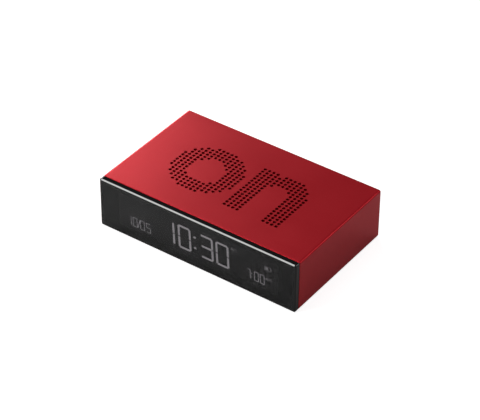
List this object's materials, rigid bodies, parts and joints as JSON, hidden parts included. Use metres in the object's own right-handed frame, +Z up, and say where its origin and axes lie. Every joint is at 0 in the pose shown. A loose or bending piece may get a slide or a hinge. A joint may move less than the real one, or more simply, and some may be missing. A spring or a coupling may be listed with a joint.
{
  "type": "turn-over alarm clock",
  "caption": "Flat box-shaped digital alarm clock, switched on or off by turning it over, with a gloss black display front and perforated words in its top and underside.",
  "frame": {"origin": "centre of the underside, on the surface that the clock rests on", "axes": "+X to the right seen from the display side, +Y from the display to the rear, +Z up"},
  "size_m": [0.107, 0.067, 0.026],
  "materials": {
    "housing_red": "satin metallic red lacquer on moulded ABS",
    "panel_red": "matt red moulded ABS",
    "lens_black": "gloss smoked acrylic",
    "tape_black": "matt black foam tape",
    "chassis_black": "black moulded ABS",
    "display_glass": "clear display glass",
    "polariser": "dark polarising film",
    "diffuser_white": "milky diffuser film",
    "guide_clear": "clear acrylic light guide",
    "reflector_white": "white reflector film",
    "led_white": "white LED body",
    "zebra_grey": "layered contact rubber",
    "board_green": "green solder mask on glass epoxy",
    "epoxy_black": "black potting epoxy",
    "nickel": "nickel-plated steel",
    "capacitor_sleeve": "dark shrink sleeve",
    "chip_ceramic": "chip component ceramic",
    "screw_steel": "zinc-plated steel",
    "switch_black": "black switch plastic",
    "ball_steel": "plated steel ball",
    "sounder_brass": "brass disc",
    "sounder_ceramic": "silvered ceramic",
    "lead_red": "red wire insulation",
    "lead_black": "black wire insulation",
    "cloth_black": "black acoustic cloth",
    "foil_copper": "copper foil",
    "cell_jacket": "printed steel cell jacket",
    "button_black": "matt black button",
    "plunger_brown": "brown switch plunger",
    "ribbon_grey": "grey ribbon insulation"
  },
  "bodies": {
    "clock_body": {"backlight_leds": "led_white", "battery_cell_lower": "cell_jacket", "battery_cell_upper": "cell_jacket", "battery_lead_black": "lead_black", "battery_lead_red": "lead_red", "board_screws": "screw_steel", "bottom_dust_cloth": "cloth_black", "bulk_capacitor": "capacitor_sleeve", "chassis": "chassis_black", "chip_parts": "chip_ceramic", "clock_crystal": "nickel", "controller_blob": "epoxy_black", "diffuser_sheet": "diffuser_white", "front_lens": "lens_black", "front_polariser": "polariser", "housing_sleeve": "housing_red", "key_board": "board_green", "key_board_screws": "screw_steel", "lcd_front_glass": "display_glass", "lcd_rear_glass": "display_glass", "lens_tape": "tape_black", "light_guide": "guide_clear", "link_plate": "nickel", "link_spring": "nickel", "main_board": "board_green", "negative_plate": "nickel", "negative_spring": "nickel", "piezo_ceramic": "sounder_ceramic", "piezo_disc": "sounder_brass", "piezo_lead_black": "lead_black", "piezo_lead_red": "lead_red", "positive_plate": "nickel", "rear_panel": "panel_red", "rear_panel_screws": "screw_steel", "rear_polariser": "polariser", "reflector_sheet": "reflector_white", "ribbon_cable": "ribbon_grey", "switch_bases": "switch_black", "tilt_switch_base": "switch_black", "tilt_switch_can": "nickel", "tilt_switch_pins": "nickel", "top_dust_cloth": "cloth_black", "touch_foil": "foil_copper", "touch_lead": "foil_copper", "zebra_strip_lower": "zebra_grey", "zebra_strip_upper": "zebra_grey"},
    "battery_door": {"battery_door": "panel_red"},
    "tilt_ball": {"tilt_switch_ball": "ball_steel"},
    "time_key": {"button_time": "button_black", "plunger_time": "plunger_brown"},
    "alarm_key": {"button_alarm": "button_black", "plunger_alarm": "plunger_brown"},
    "up_key": {"button_up": "button_black", "plunger_up": "plunger_brown"},
    "down_key": {"button_down": "button_black", "plunger_down": "plunger_brown"},
    "light_key": {"button_light": "button_black", "plunger_light": "plunger_brown"}
  },
  "joints": [
    {"name": "battery_door_hinge", "type": "hinge", "parent": "clock_body", "child": "battery_door", "pos_m": [0.0059, 0.0325, 0.013], "axis": [0, 0, -1], "range_deg": [0, 75]},
    {"name": "tilt_ball_slide", "type": "slide", "parent": "clock_body", "child": "tilt_ball", "axis": [0, 0, 1], "range_m": [0, 0.00195]},
    {"name": "time_key_press", "type": "slide", "parent": "clock_body", "child": "time_key", "axis": [0, -1, 0], "range_m": [0, 0.0005], "stiffness_N_per_m": 300, "springref_m": -0.0005},
    {"name": "alarm_key_press", "type": "slide", "parent": "clock_body", "child": "alarm_key", "axis": [0, -1, 0], "range_m": [0, 0.0005], "stiffness_N_per_m": 300, "springref_m": -0.0005},
    {"name": "up_key_press", "type": "slide", "parent": "clock_body", "child": "up_key", "axis": [0, -1, 0], "range_m": [0, 0.0005], "stiffness_N_per_m": 300, "springref_m": -0.0005},
    {"name": "down_key_press", "type": "slide", "parent": "clock_body", "child": "down_key", "axis": [0, -1, 0], "range_m": [0, 0.0005], "stiffness_N_per_m": 300, "springref_m": -0.0005},
    {"name": "light_key_press", "type": "slide", "parent": "clock_body", "child": "light_key", "axis": [0, -1, 0], "range_m": [0, 0.0005], "stiffness_N_per_m": 300, "springref_m": -0.0005}
  ]
}
